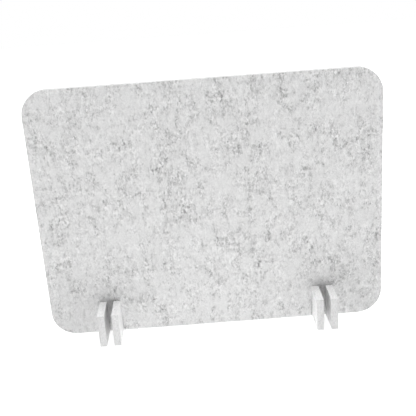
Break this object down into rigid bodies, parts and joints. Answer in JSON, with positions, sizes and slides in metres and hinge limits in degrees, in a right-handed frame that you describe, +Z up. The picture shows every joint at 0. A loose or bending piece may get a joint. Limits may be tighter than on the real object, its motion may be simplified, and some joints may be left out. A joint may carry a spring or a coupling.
{
  "type": "acoustic desk divider screen",
  "caption": "Freestanding felt desk divider: an upright sound-absorbing board with rounded corners that stands in slotted felt feet halved across its bottom edge.",
  "frame": {"origin": "on the desk surface, under the middle of the panel", "axes": "+X along the panel, +Y through the panel from its front to its back, +Z up"},
  "size_m": [0.6096, 0.127, 0.4572],
  "materials": {
    "felt_panel": "needle-punched polyester felt board, light grey mottled with dark grey fibres, dead matt with a faint nap sheen",
    "felt_foot": "the same felt board cut into narrow feet, so mostly its pale layered cut edge shows, dead matt"
  },
  "bodies": {
    "left_outer_foot": {"foot_left_outer": "felt_foot"},
    "panel": {"screen_panel": "felt_panel"},
    "left_inner_foot": {"foot_left_inner": "felt_foot"},
    "right_inner_foot": {"foot_right_inner": "felt_foot"},
    "right_outer_foot": {"foot_right_outer": "felt_foot"}
  },
  "joints": [
    {"name": "panel_lift", "type": "slide", "parent": "left_outer_foot", "child": "panel", "axis": [0, 0, 1], "range_m": [0, 0.065]},
    {"name": "left_inner_release", "type": "slide", "parent": "panel", "child": "left_inner_foot", "axis": [0, 0, -1], "range_m": [0, 0.065]},
    {"name": "right_inner_release", "type": "slide", "parent": "panel", "child": "right_inner_foot", "axis": [0, 0, -1], "range_m": [0, 0.065]},
    {"name": "right_outer_release", "type": "slide", "parent": "panel", "child": "right_outer_foot", "axis": [0, 0, -1], "range_m": [0, 0.065]}
  ],
  "couplings": [
    {"joint": "left_inner_release", "follows": "panel_lift", "ratio": 1},
    {"joint": "right_inner_release", "follows": "panel_lift", "ratio": 1},
    {"joint": "right_outer_release", "follows": "panel_lift", "ratio": 1}
  ]
}
